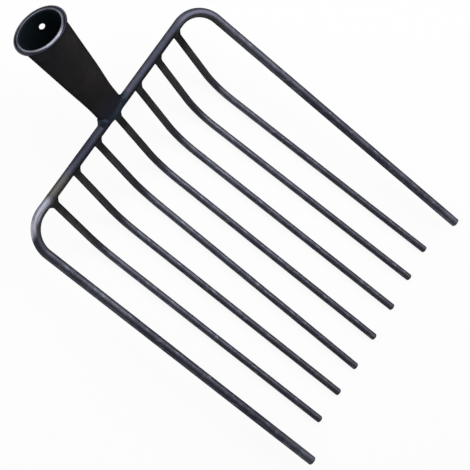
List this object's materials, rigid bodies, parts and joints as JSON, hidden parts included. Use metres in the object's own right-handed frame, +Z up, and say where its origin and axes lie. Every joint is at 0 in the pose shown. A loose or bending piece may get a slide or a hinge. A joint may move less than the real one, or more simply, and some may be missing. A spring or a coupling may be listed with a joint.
{
  "type": "fork head",
  "caption": "Welded steel scoop fork head: rod frame with scooped inner tines and a tapered handle socket with a rolled lip and one nail hole",
  "frame": {"origin": "under the middle of the head's bounding box, on the surface that the inner tines lie on", "axes": "+Y along the level inner tines towards their tips, +X across the head, +Z up; the socket rises towards -Y"},
  "size_m": [0.3144, 0.4974, 0.1656],
  "materials": {
    "frame_rod": "thin blue-black lacquer over drawn steel rod, satin",
    "inner_tine": "thin blue-black lacquer over drawn steel rod, satin",
    "socket": "matt black lacquer over pressed steel tube",
    "weld": "blue-black lacquer over welded steel"
  },
  "bodies": {
    "root": {"frame_rod": "frame_rod", "handle_socket": "socket", "tine_1": "inner_tine", "tine_2": "inner_tine", "tine_3": "inner_tine", "tine_4": "inner_tine", "tine_5": "inner_tine", "tine_6": "inner_tine", "tine_7": "inner_tine", "tine_weld_1": "weld", "tine_weld_2": "weld", "tine_weld_3": "weld", "tine_weld_4": "weld", "tine_weld_5": "weld", "tine_weld_6": "weld", "tine_weld_7": "weld", "socket_weld_upper": "weld", "socket_weld_lower": "weld"}
  },
  "joints": []
}
